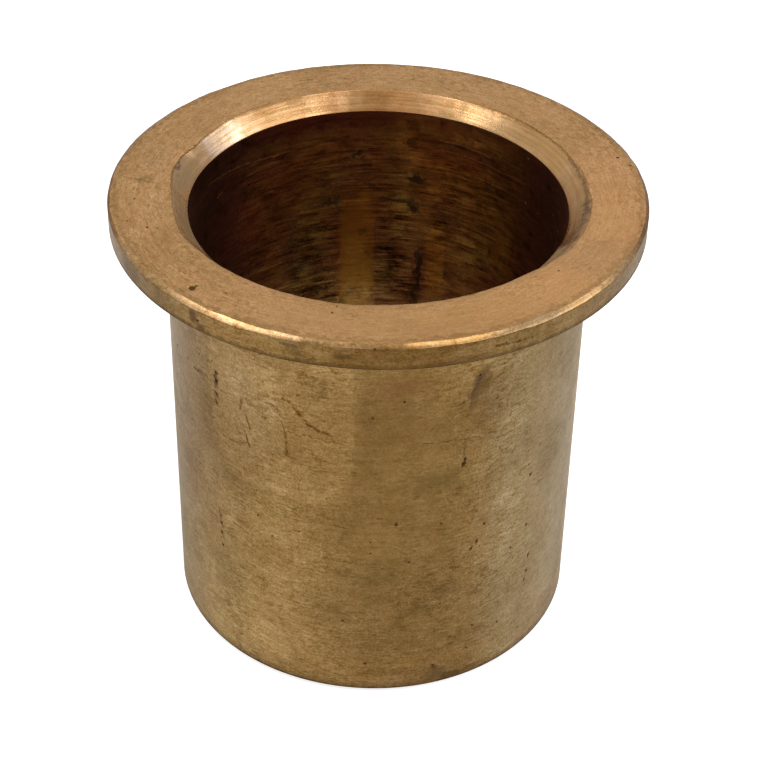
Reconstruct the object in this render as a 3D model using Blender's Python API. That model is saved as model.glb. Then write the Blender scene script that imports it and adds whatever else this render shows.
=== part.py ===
"""Flanged bronze bushing, turned from one piece.

It stands on the free end of its sleeve with the flange up. The origin is the centre of that end and +Z runs
along the bore to the flange. Units are metres.
"""

import math

import bmesh
import bpy

# Bore and sleeve
BORE_DIAMETER = 0.0400
SLEEVE_WALL = 0.0025
OVERALL_LENGTH = 0.0515

# Flange, measured out from the sleeve
FLANGE_OVERHANG = 0.00575
FLANGE_THICKNESS = 0.0028
FLANGE_ROOT_RADIUS = 0.0004

# Lead-in for the shaft, cut into the flange end of the bore
LEAD_IN_WIDTH = 0.0018
LEAD_IN_DEPTH = 0.0019

# Edge breaks
RIM_BREAK_WIDTH = 0.0005
RIM_BREAK_HEIGHT = 0.0003
RIM_UNDERSIDE_BREAK = 0.00015
SLEEVE_END_CHAMFER = 0.0006
BORE_END_CHAMFER = 0.0003

# Facets
TURNED_SEGMENTS = 144
FILLET_STEPS = 4
SHARP_EDGE_DEGREES = 20

# Bronze, as linear colour
BRONZE_COLOUR = (0.40, 0.225, 0.095, 1.0)
BRONZE_ROUGHNESS = 0.42
BRONZE_METALLIC = 1.0

# Radii that follow from the sizes above
BORE_RADIUS = BORE_DIAMETER / 2
SLEEVE_RADIUS = BORE_RADIUS + SLEEVE_WALL
FLANGE_RADIUS = SLEEVE_RADIUS + FLANGE_OVERHANG
FLANGE_SEAT_HEIGHT = OVERALL_LENGTH - FLANGE_THICKNESS


def clear_scene():
    """Empties the scene, so that the script can be run again."""
    for obj in list(bpy.data.objects):
        bpy.data.objects.remove(obj, do_unlink=True)


def fillet(centre_radius, centre_height, radius, start_degrees, end_degrees):
    """Points on an arc of the section, both ends included."""
    points = []
    for step in range(FILLET_STEPS + 1):
        angle = math.radians(start_degrees + (end_degrees - start_degrees) * step / FILLET_STEPS)
        points.append((centre_radius + radius * math.cos(angle), centre_height + radius * math.sin(angle)))
    return points


def bore_side():
    """The inside of the section, from the free end up to the flange face."""
    return [
        (BORE_RADIUS + BORE_END_CHAMFER, 0.0),
        (BORE_RADIUS, BORE_END_CHAMFER),
        (BORE_RADIUS, OVERALL_LENGTH - LEAD_IN_DEPTH),
        (BORE_RADIUS + LEAD_IN_WIDTH, OVERALL_LENGTH),
    ]


def flange_rim():
    """The rim of the flange, from its face down to the seat under it."""
    return [
        (FLANGE_RADIUS - RIM_BREAK_WIDTH, OVERALL_LENGTH),
        (FLANGE_RADIUS, OVERALL_LENGTH - RIM_BREAK_HEIGHT),
        (FLANGE_RADIUS, FLANGE_SEAT_HEIGHT + RIM_UNDERSIDE_BREAK),
        (FLANGE_RADIUS - RIM_UNDERSIDE_BREAK, FLANGE_SEAT_HEIGHT),
    ]


def flange_root():
    """The inside corner that the tool's nose leaves between seat and sleeve."""
    return fillet(
        SLEEVE_RADIUS + FLANGE_ROOT_RADIUS,
        FLANGE_SEAT_HEIGHT - FLANGE_ROOT_RADIUS,
        FLANGE_ROOT_RADIUS,
        90,
        180,
    )


def sleeve_end():
    """The chamfer that starts the sleeve into its housing."""
    return [
        (SLEEVE_RADIUS, SLEEVE_END_CHAMFER),
        (SLEEVE_RADIUS - SLEEVE_END_CHAMFER, 0.0),
    ]


def turned_mesh(name, section):
    """Turns a closed section of (radius, height) points about Z."""
    bm = bmesh.new()
    corners = [bm.verts.new((radius, 0.0, height)) for radius, height in section]
    edges = [bm.edges.new((corner, corners[i - 1])) for i, corner in enumerate(corners)]
    bmesh.ops.spin(
        bm,
        geom=corners + edges,
        cent=(0, 0, 0),
        axis=(0, 0, 1),
        angle=2 * math.pi,
        steps=TURNED_SEGMENTS,
        use_merge=True,
    )
    bmesh.ops.recalc_face_normals(bm, faces=bm.faces)
    mesh = bpy.data.meshes.new(name)
    bm.to_mesh(mesh)
    bm.free()
    mesh.shade_smooth()
    mesh.set_sharp_from_angle(angle=math.radians(SHARP_EDGE_DEGREES))
    return mesh


def bronze():
    """Used bearing bronze, dull brown."""
    material = bpy.data.materials.new("bronze")
    material.use_nodes = True
    shader = material.node_tree.nodes["Principled BSDF"]
    shader.inputs["Base Color"].default_value = BRONZE_COLOUR
    shader.inputs["Roughness"].default_value = BRONZE_ROUGHNESS
    shader.inputs["Metallic"].default_value = BRONZE_METALLIC
    return material


def build_bushing():
    """The section runs up the bore, out over the flange and down the sleeve."""
    section = bore_side() + flange_rim() + flange_root() + sleeve_end()
    mesh = turned_mesh("bushing", section)
    mesh.materials.append(bronze())
    bushing = bpy.data.objects.new("bushing", mesh)
    bpy.context.scene.collection.objects.link(bushing)
    return bushing


clear_scene()
build_bushing()
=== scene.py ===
import bmesh, bpy, math
from mathutils import Matrix, Vector, noise


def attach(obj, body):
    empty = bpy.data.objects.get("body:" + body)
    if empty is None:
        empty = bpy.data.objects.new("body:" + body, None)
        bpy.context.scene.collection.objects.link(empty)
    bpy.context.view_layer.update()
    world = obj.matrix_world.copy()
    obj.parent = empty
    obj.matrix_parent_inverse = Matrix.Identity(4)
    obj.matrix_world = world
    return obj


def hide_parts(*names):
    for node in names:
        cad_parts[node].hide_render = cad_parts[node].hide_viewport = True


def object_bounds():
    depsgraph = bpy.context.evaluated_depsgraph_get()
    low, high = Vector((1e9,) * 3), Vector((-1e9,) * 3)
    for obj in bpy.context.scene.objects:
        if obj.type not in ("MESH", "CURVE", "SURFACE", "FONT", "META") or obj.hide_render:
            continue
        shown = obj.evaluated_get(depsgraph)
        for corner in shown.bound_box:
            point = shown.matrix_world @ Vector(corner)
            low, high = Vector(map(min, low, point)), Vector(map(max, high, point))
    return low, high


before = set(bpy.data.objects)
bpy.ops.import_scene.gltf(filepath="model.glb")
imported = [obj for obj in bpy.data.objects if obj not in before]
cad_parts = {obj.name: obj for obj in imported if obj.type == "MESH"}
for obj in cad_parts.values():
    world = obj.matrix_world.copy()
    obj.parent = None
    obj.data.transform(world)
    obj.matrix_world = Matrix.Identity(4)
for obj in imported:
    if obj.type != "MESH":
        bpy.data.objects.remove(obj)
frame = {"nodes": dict(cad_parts)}        # one node, the bushing, standing on the free end of its sleeve
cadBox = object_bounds()
flangeRadius, length = cadBox[1].x, cadBox[1].z
print("frame loaded:", ", ".join(frame["nodes"]))

# The turned form in metres. The flange's radius and the length are the frame's own.
form = {
    "turns": 480,                # facets round the axis
    "boreRadius": 0.0200,
    "sleeveRadius": 0.0225,
    "flangeThickness": 0.0028,
    "rootRadius": 0.0004,        # inside corner under the flange
    "rootSteps": 6,
    "leadInWidth": 0.0018,
    "leadInDepth": 0.0019,
    "lipWidth": 0.0003,          # worn lip between the lead-in and the flange face
    "lipDepth": 0.00006,
    "rimBreakWidth": 0.0005,
    "rimBreakHeight": 0.0003,
    "rimUnderBreak": 0.00015,
    "sleeveEndBreak": 0.0006,
    "boreEndBreak": 0.0003,
    "boreRingGap": 0.0020,       # between rings in the bore
    "sleeveRingGap": 0.0006,     # between rings on the sleeve
    "flangeRingGap": 0.0004,     # between rings on the flange
    "edgeRounding": 0.00006,
    "edgeSegments": 2,
    "sharpAngle": 14,            # degrees; what turns more than this gets rounded
    "smoothAngle": 25,
    "near": 0.00002,             # how far off a plane a face may lie and still count as on it
    "weld": 0.000001,            # points closer than this are one
}
seatHeight = length - form["flangeThickness"]


def edit(piece):
    bpy.ops.object.select_all(action="DESELECT")
    piece.select_set(True)
    bpy.context.view_layer.objects.active = piece
    bpy.ops.object.mode_set(mode="EDIT")


def select(piece, kind, test):
    # selects the corners, edges or faces that pass the test, in edit mode
    bpy.ops.mesh.select_mode(type=kind)
    bpy.ops.mesh.select_all(action="DESELECT")
    shape = bmesh.from_edit_mesh(piece.data)
    parts = {"VERT": shape.verts, "EDGE": shape.edges, "FACE": shape.faces}[kind]
    for part in parts:
        if test(part):
            part.select_set(True)
    shape.select_flush_mode()
    bmesh.update_edit_mesh(piece.data)


def outline():
    # the section as (radius, height), up the bore, out over the flange and down the sleeve
    bore, sleeve, root = form["boreRadius"], form["sleeveRadius"], form["rootRadius"]
    points = [
        (bore + form["boreEndBreak"], 0.0),
        (bore, form["boreEndBreak"]),
        (bore, length - form["leadInDepth"]),
        (bore + form["leadInWidth"], length - form["lipDepth"]),
        (bore + form["leadInWidth"] + form["lipWidth"], length),
        (flangeRadius - form["rimBreakWidth"], length),
        (flangeRadius, length - form["rimBreakHeight"]),
        (flangeRadius, seatHeight + form["rimUnderBreak"]),
        (flangeRadius - form["rimUnderBreak"], seatHeight),
    ]
    for step in range(form["rootSteps"] + 1):
        turn = math.radians(90 + 90 * step / form["rootSteps"])
        points.append((sleeve + root + root * math.cos(turn), seatHeight - root + root * math.sin(turn)))
    points.append((sleeve, form["sleeveEndBreak"]))
    points.append((sleeve - form["sleeveEndBreak"], 0.0))
    return points


def middleOf(edge):
    return (edge.verts[0].co + edge.verts[1].co) / 2


def drawSection(name):
    points = outline()
    weld = form["weld"]
    bpy.ops.object.select_all(action="DESELECT")
    bpy.ops.mesh.primitive_plane_add(size=0.001, location=(points[0][0], 0, points[0][1]))
    piece = bpy.context.object
    piece.name = piece.data.name = name
    bpy.ops.object.transform_apply(location=True)
    edit(piece)
    bpy.ops.mesh.select_all(action="SELECT")
    bpy.ops.mesh.merge(type="CENTER")        # the plane becomes the section's first point
    bpy.ops.mesh.select_mode(type="VERT")
    for (r0, z0), (r1, z1) in zip(points, points[1:]):
        bpy.ops.mesh.extrude_vertices_move(TRANSFORM_OT_translate={"value": (r1 - r0, 0, z1 - z0)})
    ends = (points[0], points[-1])
    select(piece, "VERT", lambda v: any(math.dist((v.co.x, v.co.z), end) < weld for end in ends))
    bpy.ops.mesh.edge_face_add()
    for (r0, z0), (r1, z1) in zip(points, points[1:]):        # rings that can carry wear
        side = math.dist((r0, z0), (r1, z1))
        gap = form["flangeRingGap"]
        if side > form["flangeThickness"] * 4:        # only the bore and the sleeve are this long
            gap = form["boreRingGap"] if r0 == form["boreRadius"] else form["sleeveRingGap"]
        cuts = round(side / gap) - 1
        if cuts > 0:
            middle = Vector(((r0 + r1) / 2, 0, (z0 + z1) / 2))
            select(piece, "EDGE", lambda edge: (middleOf(edge) - middle).length < weld)
            bpy.ops.mesh.subdivide(number_cuts=cuts)
    return piece


def turnSection(piece):
    bpy.ops.mesh.select_all(action="SELECT")
    bpy.ops.mesh.spin(steps=form["turns"], angle=2 * math.pi, center=(0, 0, 0), axis=(0, 0, 1))
    bpy.ops.mesh.select_all(action="SELECT")
    bpy.ops.mesh.remove_doubles(threshold=form["weld"])
    bpy.ops.mesh.normals_make_consistent(inside=False)


def zoneOf(face):
    # which turned surface a face belongs to
    middle = face.calc_center_median()
    reach = math.hypot(middle.x, middle.y)
    near = form["near"]
    if reach < form["boreRadius"] + near and middle.z < length - form["leadInDepth"]:
        return "bore"
    if middle.z > length - near:
        return "flangeFace"
    if reach < form["boreRadius"] + form["leadInWidth"] - near and middle.z > seatHeight:
        return "leadIn"
    if reach < form["boreRadius"] + form["leadInWidth"] + form["lipWidth"] and middle.z > seatHeight:
        return "flangeFace"
    if middle.z > length - form["rimBreakHeight"]:
        return "rimBreak"
    if middle.z > seatHeight + near:
        return "rim"
    if middle.z > seatHeight - form["rootRadius"]:
        return "seat"
    if middle.z > form["sleeveEndBreak"]:
        return "sleeve"
    return "sleeveEnd"


def paintZones(piece, finishes):
    for index, (zone, finish) in enumerate(finishes.items()):
        piece.data.materials.append(finish)
        select(piece, "FACE", lambda face: zoneOf(face) == zone)
        piece.active_material_index = index
        bpy.ops.object.material_slot_assign()


def roundEdges(piece):
    bpy.ops.mesh.select_mode(type="EDGE")
    bpy.ops.mesh.select_all(action="DESELECT")
    bpy.ops.mesh.edges_select_sharp(sharpness=math.radians(form["sharpAngle"]))
    bpy.ops.mesh.bevel(offset=form["edgeRounding"], segments=form["edgeSegments"], affect="EDGES")


# What use has done to the edges. Angles are in degrees from the front, right positive; sizes in mm.
wear = {
    "leadInEdge": [      # where the lead-in's outer edge lies, all the way round
        (-180, 21.45), (-155, 21.60), (-136, 21.85), (-122, 21.60), (-112, 21.60), (-106, 22.02),
        (-98, 22.05), (-92, 21.80), (-85, 21.58), (-74, 21.62), (-65, 21.80), (-52, 21.54), (-25, 21.42),
        (-8, 21.44), (2, 21.28), (30, 21.26), (43, 21.32), (52, 21.72), (62, 22.12), (72, 22.20),
        (86, 22.24), (94, 22.02), (102, 21.80), (112, 21.80), (134, 21.66), (152, 21.42), (180, 21.45),
    ],
    "leadInReach": 1.6,          # how far out on the face the move fades
    "margin": 0.1,               # how far off its own edges a worn band starts
    "lipWaver": 0.05,
    "lipWaverLength": 0.9,
    "lipSink": [(-106, 0.10, 18), (-62, 0.10, 18), (74, 0.12, 26)],    # angle, depth, half span
    "lipSinkReach": 0.5,
    "lipSinkLength": 0.6,
    "lipSinkVary": (0.7, 0.8),   # its usual share, and how far noise moves it
    "rimBreakSpare": [   # by how much the rim's break is narrower than drawn
        (-180, 0.0), (-122, 0.0), (-104, 0.20), (-82, 0.26), (-64, 0.12), (-48, 0.0),
        (62, 0.0), (76, 0.12), (88, 0.22), (102, 0.22), (120, 0.0), (180, 0.0),
    ],
    "rimWaver": 0.12,
    "rimSink": 0.10,
    "rimWaverLength": 2.6,
    "rimNickLength": 0.7,
    "rimNickShare": 0.5,
    "rimNickLift": 0.15,         # more of it takes more of the edge away
    "rimFaceBand": 0.04,         # the break's upper edge lies this near the face
    "rimBreakRise": 0.5,         # how much of the spare width the height gets
    "dents": {           # angle, radius or height, size, depth
        "face": [
            (-43.3, 26.15, 0.42, 0.16), (-43.2, 25.6, 0.20, 0.07), (-70.6, 24.8, 0.17, 0.08),
            (-69.5, 23.9, 0.14, 0.07), (-74.4, 26.5, 0.12, 0.05), (-10.5, 23.2, 0.16, 0.07),
            (106, 26.7, 0.22, 0.08), (102, 27.5, 0.20, 0.08),
        ],
        "wall": [
            (-46.8, 38.6, 0.22, 0.08), (-46.7, 37.6, 0.26, 0.10), (-46.6, 35.9, 0.22, 0.08),
            (-46.8, 34.7, 0.20, 0.06), (-47.1, 19.3, 0.22, 0.05), (-46.6, 18.4, 0.20, 0.05),
            (-46.7, 17.0, 0.22, 0.05), (-46.5, 15.3, 0.22, 0.05), (-32.7, 22.5, 0.20, 0.05),
            (24.3, 31.3, 0.34, 0.11), (24.5, 31.9, 0.22, 0.06), (27.9, 19.2, 0.20, 0.07),
            (29.5, 20.0, 0.20, 0.07), (47.7, 18.6, 0.22, 0.06), (47.9, 25.6, 0.25, 0.06),
            (49.8, 13.7, 0.25, 0.06), (49.4, 11.5, 0.22, 0.06), (48.8, 10.4, 0.20, 0.05),
            (6.2, 24.5, 0.24, 0.05), (18.5, 23.9, 0.18, 0.06), (31.6, 22.1, 0.22, 0.06),
            (10.0, 19.1, 0.22, 0.05), (38.5, 6.4, 0.21, 0.06), (29.6, 7.7, 0.20, 0.06),
            (-1.5, 4.4, 0.25, 0.07), (18.0, 3.3, 0.18, 0.07), (28.0, 4.6, 0.18, 0.05),
            (29.0, 50.0, 0.14, 0.05), (26.0, 50.2, 0.15, 0.05), (-37.5, 50.0, 0.20, 0.05),
        ],
    },
    "dentCuts": 2,
    "dentMargin": 0.3,           # how far round a dent the mesh is made finer
    "dentRagged": 1.2,           # how much a dent's outline wanders
    "dentRaggedLength": 0.25,
    "dentReach": 1.5,            # in sizes; past it nothing moves
    "dentBowl": 0.8,             # lower is flatter at the bottom
    "soil": {            # how dirty; along the lead-in's edge as angle, amount, half span
        "dent": 1.0,
        "dentReach": 1.1,        # in sizes of the dent
        "dentFade": 0.5,
        "leadInEdge": [(-104, 1.0, 30), (-64, 0.9, 22), (-140, 0.55, 30), (80, 0.6, 34), (127, 0.90, 34),
                       (180, 0.25, 40), (0, 0.25, 60)],
        "lipReach": 1.5,         # how far from the lip the edge dirt is looked for
        "farOff": 9.0,           # stands for anywhere else
        "rimUnderDarkening": 0.70,
        "rimEdgeIn": 0.3,        # how far in and up that darkening goes
        "rimEdgeUp": 0.18,
    },
}


def angleOf(place):
    return math.degrees(math.atan2(place.x, -place.y))


def between(points, angle):
    for (a0, r0), (a1, r1) in zip(points, points[1:]):
        if a0 <= angle <= a1:
            share = (angle - a0) / (a1 - a0)
            share = share * share * (3 - 2 * share)
            return r0 + (r1 - r0) * share
    return points[0][1]


def humps(spans, angle):
    # the tallest of some soft humps round the axis, each (angle, height, half span)
    best = 0.0
    for middle, height, span in spans:
        away = abs((angle - middle + 180) % 360 - 180) / span
        best = max(best, height * max(0.0, 1 - away * away) ** 0.7)
    return best


def wander(place, size, seed=0.0):
    # smooth noise about zero, with hills of the given size in mm
    return noise.noise(Vector((place.x, place.y, place.z)) * 1000 / size + Vector((seed, seed, seed)))


def wearEdges(piece):
    edgeRadius = form["boreRadius"] + form["leadInWidth"]
    margin = wear["margin"] / 1000
    breakInside = flangeRadius - form["rimBreakWidth"] - margin
    breakUnder = length - form["rimBreakHeight"] - margin
    usualSink, sinkVary = wear["lipSinkVary"]
    shape = bmesh.from_edit_mesh(piece.data)
    for corner in shape.verts:
        place = corner.co
        reach = math.hypot(place.x, place.y)
        angle = angleOf(place)
        outwards = Vector((place.x, place.y, 0)) / reach
        onLeadIn = place.z > length - form["leadInDepth"] + margin
        if onLeadIn and reach < edgeRadius + wear["leadInReach"] / 1000:
            move = between(wear["leadInEdge"], angle) / 1000 - edgeRadius
            move += wear["lipWaver"] / 1000 * wander(place, wear["lipWaverLength"])
            if reach < edgeRadius:
                weight = (reach - form["boreRadius"]) / form["leadInWidth"]
            else:
                weight = 1 - (reach - edgeRadius) / (wear["leadInReach"] / 1000)
            beside = abs(reach - edgeRadius) * 1000 / wear["lipSinkReach"]
            sink = humps(wear["lipSink"], angle) / 1000 * max(0.0, 1 - beside)
            sink *= usualSink + sinkVary * wander(place, wear["lipSinkLength"], seed=7.0)
            corner.co += outwards * move * weight - Vector((0, 0, max(0.0, sink)))
        elif reach > breakInside and place.z > breakUnder:
            rough = wander(place, wear["rimWaverLength"])
            rough += wear["rimNickShare"] * wander(place, wear["rimNickLength"], seed=3.0)
            rough = max(0.0, rough + wear["rimNickLift"]) / 1000
            spare = between(wear["rimBreakSpare"], angle) / 1000
            if place.z > length - wear["rimFaceBand"] / 1000:
                corner.co += outwards * (spare - rough * wear["rimWaver"])
            else:
                corner.co += Vector((0, 0, spare * wear["rimBreakRise"] - rough * wear["rimSink"]))
    bmesh.update_edit_mesh(piece.data)


def dentPlaces():
    # each dent's middle, its way in, its size and its depth, in metres
    places = []
    for side, dents in wear["dents"].items():
        for angle, across, size, depth in dents:
            turn = math.radians(angle)
            way = Vector((math.sin(turn), -math.cos(turn), 0))
            if side == "face":
                middle, inwards = way * across / 1000 + Vector((0, 0, length)), Vector((0, 0, -1))
            else:
                reach = flangeRadius if across / 1000 > seatHeight else form["sleeveRadius"]
                middle, inwards = way * reach + Vector((0, 0, across / 1000)), -way
            places.append((middle, inwards, size / 1000, depth / 1000))
    return places


def pushDents(piece):
    dents = dentPlaces()
    margin = wear["dentMargin"] / 1000

    def nearDent(face):
        centre = face.calc_center_median()
        return any((centre - middle).length < size + margin for middle, inwards, size, depth in dents)

    select(piece, "FACE", nearDent)
    bpy.ops.mesh.subdivide(number_cuts=wear["dentCuts"])
    shape = bmesh.from_edit_mesh(piece.data)
    for corner in shape.verts:
        for middle, inwards, size, depth in dents:
            away = (corner.co - middle).length
            if away < size * wear["dentReach"]:
                away *= 1 + wear["dentRagged"] * wander(corner.co, wear["dentRaggedLength"])
                corner.co += inwards * depth * max(0.0, 1 - (away / size) ** 2) ** wear["dentBowl"]
                break
    bmesh.update_edit_mesh(piece.data)


def soilPiece(piece):
    # leaves dirt in the dents and along the lead-in's worn edge, and darkens the rim's lower edge, as
    # attributes for the finishes
    dents = dentPlaces()
    edgeRadius = form["boreRadius"] + form["leadInWidth"]
    soil = wear["soil"]
    lipReach = soil["lipReach"] / 1000
    rimInside = flangeRadius - soil["rimEdgeIn"] / 1000
    rimTop = seatHeight + soil["rimEdgeUp"] / 1000
    amounts, edgeWays, edgeSoils = [], [], []
    for corner in piece.data.vertices:
        place = corner.co
        reach = math.hypot(place.x, place.y)
        angle = angleOf(place)
        dirt = 0.0
        for middle, inwards, size, depth in dents:
            away = (place - middle).length / size
            if away < soil["dentReach"]:
                dirt = max(dirt, soil["dent"] * min(1.0, (soil["dentReach"] - away) / soil["dentFade"]))
        # darker along the rim's lower edge
        if reach > rimInside and seatHeight - form["near"] < place.z < rimTop:
            dirt = max(dirt, soil["rimUnderDarkening"])
        onLip = place.z > length - lipReach and reach < edgeRadius + lipReach
        edgeWay = reach * 1000 - between(wear["leadInEdge"], angle)
        edgeWays.append(edgeWay if onLip else soil["farOff"])
        edgeSoils.append(humps(soil["leadInEdge"], angle))
        amounts.append(max(0.0, min(1.0, dirt)))
    for name, values in (("dirt", amounts), ("edgeWay", edgeWays), ("edgeSoil", edgeSoils)):
        piece.data.attributes.new(name, "FLOAT", "POINT")
        piece.data.attributes[name].data.foreach_set("value", values)


# Node helpers. Every finish below works in millimetres.
def add(tree, kind, inputs=None, **settings):
    step = tree.nodes.new("ShaderNode" + kind)
    for name, value in settings.items():
        setattr(step, name, value)
    for socket, value in (inputs or {}).items():
        if isinstance(value, bpy.types.NodeSocket):
            tree.links.new(value, step.inputs[socket])
        else:
            step.inputs[socket].default_value = value
    return step


def calc(tree, operation, *values):
    return add(tree, "Math", dict(enumerate(values)), operation=operation).outputs[0]


def times(tree, first, second):
    return calc(tree, "MULTIPLY", first, second)


def vector(tree, operation, *values, out="Vector"):
    return add(tree, "VectorMath", dict(enumerate(values)), operation=operation).outputs[out]


def scaled(tree, value, amount):
    return add(tree, "VectorMath", {0: value, "Scale": amount}, operation="SCALE").outputs["Vector"]


def ramp(tree, value, low, high, start=0.0, end=1.0):
    limits = {"Value": value, "From Min": low, "From Max": high, "To Min": start, "To Max": end}
    return add(tree, "MapRange", limits, interpolation_type="SMOOTHSTEP").outputs["Result"]


def mixed(tree, amount, first, second):
    colours = [(*c, 1) if isinstance(c, tuple) else c for c in (first, second)]
    return add(tree, "Mix", {0: amount, 6: colours[0], 7: colours[1]}, data_type="RGBA").outputs[2]


def cloud(tree, place, size, detail=2.0, roughness=0.55, out="Fac"):
    inputs = {"Vector": place, "Scale": 1 / size, "Detail": detail, "Roughness": roughness}
    return add(tree, "TexNoise", inputs).outputs[out]


def speckle(tree, place, size, detail=2.0, roughness=0.6):
    # noise spread out to run from about -1 to 1
    return ramp(tree, cloud(tree, place, size, detail, roughness), 0.30, 0.70, -1.0, 1.0)


def thread(tree, value, level, width):
    # thin wandering lines, where a noise passes the given level
    off = calc(tree, "ABSOLUTE", calc(tree, "SUBTRACT", value, level))
    return ramp(tree, off, width, 0.0)


def drawnOut(tree, parts, across, stretch):
    # a place with the way round the axis made slow, so that noise read there runs along the turning
    slow = [calc(tree, "DIVIDE", part, stretch) for part in parts]
    return add(tree, "CombineXYZ", {0: slow[0], 1: slow[1], 2: across}).outputs[0]


def spotMask(tree, unrolled, look, angle, across, wide, tall, soft):
    centre = (math.radians(angle) * look["radius"], across, 0)
    away = vector(tree, "MULTIPLY", vector(tree, "SUBTRACT", unrolled, centre), (1 / wide, 1 / tall, 0))
    squared = vector(tree, "LENGTH", vector(tree, "MULTIPLY", away, away), out="Value")
    return ramp(tree, calc(tree, "SQRT", squared), 1.0, 1.0 - soft)


def scratchMask(tree, unrolled, look, start, end, width):
    first = Vector((math.radians(start[0]) * look["radius"], start[1], 0))
    along = Vector((math.radians(end[0]) * look["radius"], end[1], 0)) - first
    away = vector(tree, "SUBTRACT", unrolled, tuple(first))
    share = vector(tree, "DOT_PRODUCT", away, tuple(along), out="Value")
    share = calc(tree, "DIVIDE", share, along.length_squared)
    share = calc(tree, "MINIMUM", calc(tree, "MAXIMUM", share, 0.0), 1.0)
    beside = vector(tree, "SUBTRACT", away, scaled(tree, tuple(along), share))
    return ramp(tree, vector(tree, "LENGTH", beside, out="Value"), width, 0.0)


def most(tree, masks):
    total = masks[0]
    for mask in masks[1:]:
        total = calc(tree, "MAXIMUM", total, mask)
    return total


# What every turned surface shares; each one's own dictionary changes what differs.
bronze = {
    "lie": "wall",                           # wall reads along the axis, face reads outwards
    "radius": 22.5,                          # where the marks' angles are measured
    "zero": "front",                         # the side that the marks' angles start from
    "colour": (0.294, 0.174, 0.0565),
    "tarnish": (0.258, 0.148, 0.0448),
    "tarnishSize": 9.0,
    "tarnishReach": (0.42, 0.60),
    "shade": (0.155, 0.079, 0.018),
    "shadeSize": 3.5,
    "shadeReach": (0.52, 0.74),
    "shadeAmount": 0.4,
    "blotchSize": 1.3,
    "blotchStretch": 1.0,
    "blotchTone": 0.09,
    "richness": (1.0, 1.25, 2.0),            # how much faster green and blue go where the tone drops
    "hueSize": 1.0,
    "hueShift": 0.14,
    "toneLeast": 0.1,
    "fleckStretch": 3.0,                     # short flecks along the turning
    "fleckSize": 0.26,
    "fleckTone": 0.17,
    "fleckHeight": 0.005,
    "grainSize": 0.22,
    "grainTone": 0.19,
    "grainHeight": 0.004,
    "hairStretch": 3.2,                      # fine bright and dark hairlines
    "hairSize": 0.85,
    "hairLevels": (0.50, 0.565),             # where the pale one lies and the dark one beside it
    "hairWidth": 0.045,
    "hairWobble": 0.25,
    "hairTone": 0.16,
    "crackSize": 1.5,
    "crackWidth": 0.03,
    "crackWobble": 0.8,
    "crackPatchSize": 1.1,
    "crackPatch": (0.48, 0.62),
    "crackTone": 0.16,
    "patchSize": 5.0,                        # where flecks and hairlines thicken
    "patchReach": (0.40, 0.60),
    "patchLeast": 0.45,
    "lineStretch": 16.0,                     # long turning lines
    "lineSize": 0.26,
    "lineTone": 0.08,
    "lineHeight": 0.003,
    "nickStretch": 3.0,                      # scattered dark nicks
    "nickSize": 0.55,
    "nickReach": (0.70, 0.76),
    "nickAmount": 0.5,
    "glintStretch": 20.0,                    # thin pale streaks
    "glintSize": 0.30,
    "glintReach": (0.64, 0.72),
    "glintTone": 0.0,
    "pecks": None,                           # where short slanting nicks lie, given as a calm is
    "peckSlant": 48,
    "peckStretch": 2.6,
    "peckSize": 0.34,
    "peckReach": (0.66, 0.72),
    "peckHeight": 0.012,
    "pitGap": 1.5,
    "pitSize": 0.20,
    "pitChance": (0.20, 0.35),
    "pitColour": (0.070, 0.027, 0.009),
    "pitAmount": 0.88,
    "markTint": (0.42, 0.30, 0.14),          # nicks and scratches
    "pitHeight": 0.04,
    "roughness": 0.38,
    "tarnishRoughness": 0.06,
    "anisotropy": 0.0,
    "anisotropyTurn": 0.25,
    "wobbleSize": 0.8,
    "raggedness": 2.4,                       # of the edges of tints and stains
    "markWobble": 0.55,                      # of scratches and strokes
    "scratchGapSize": 0.7,
    "scratchGaps": (0.38, 0.52),
    "scratchFaint": 0.35,
    "calms": [],
    "tints": [],
    "stains": [],
    "scratches": [],
    "strokes": [],
    "shines": [],
    "stainDullness": 0.7,                    # how much less metallic a stain is
    "shineColour": (0.75, 0.42, 0.15),
    "shineAmount": 0.8,
    "soilColour": (0.16, 0.078, 0.030),      # dirt along the worn edge of the lead-in
    "soilAmount": 0.85,
    "edgeReach": (0.14, 0.02),
    "edgeGrain": 0.05,
    "dirtReach": (0.30, 0.75),               # dirt in the dents, and the darkening along the rim's lower edge
    "dirtGrain": 0.12,
    "dirtRoughness": 0.25,
}


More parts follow.
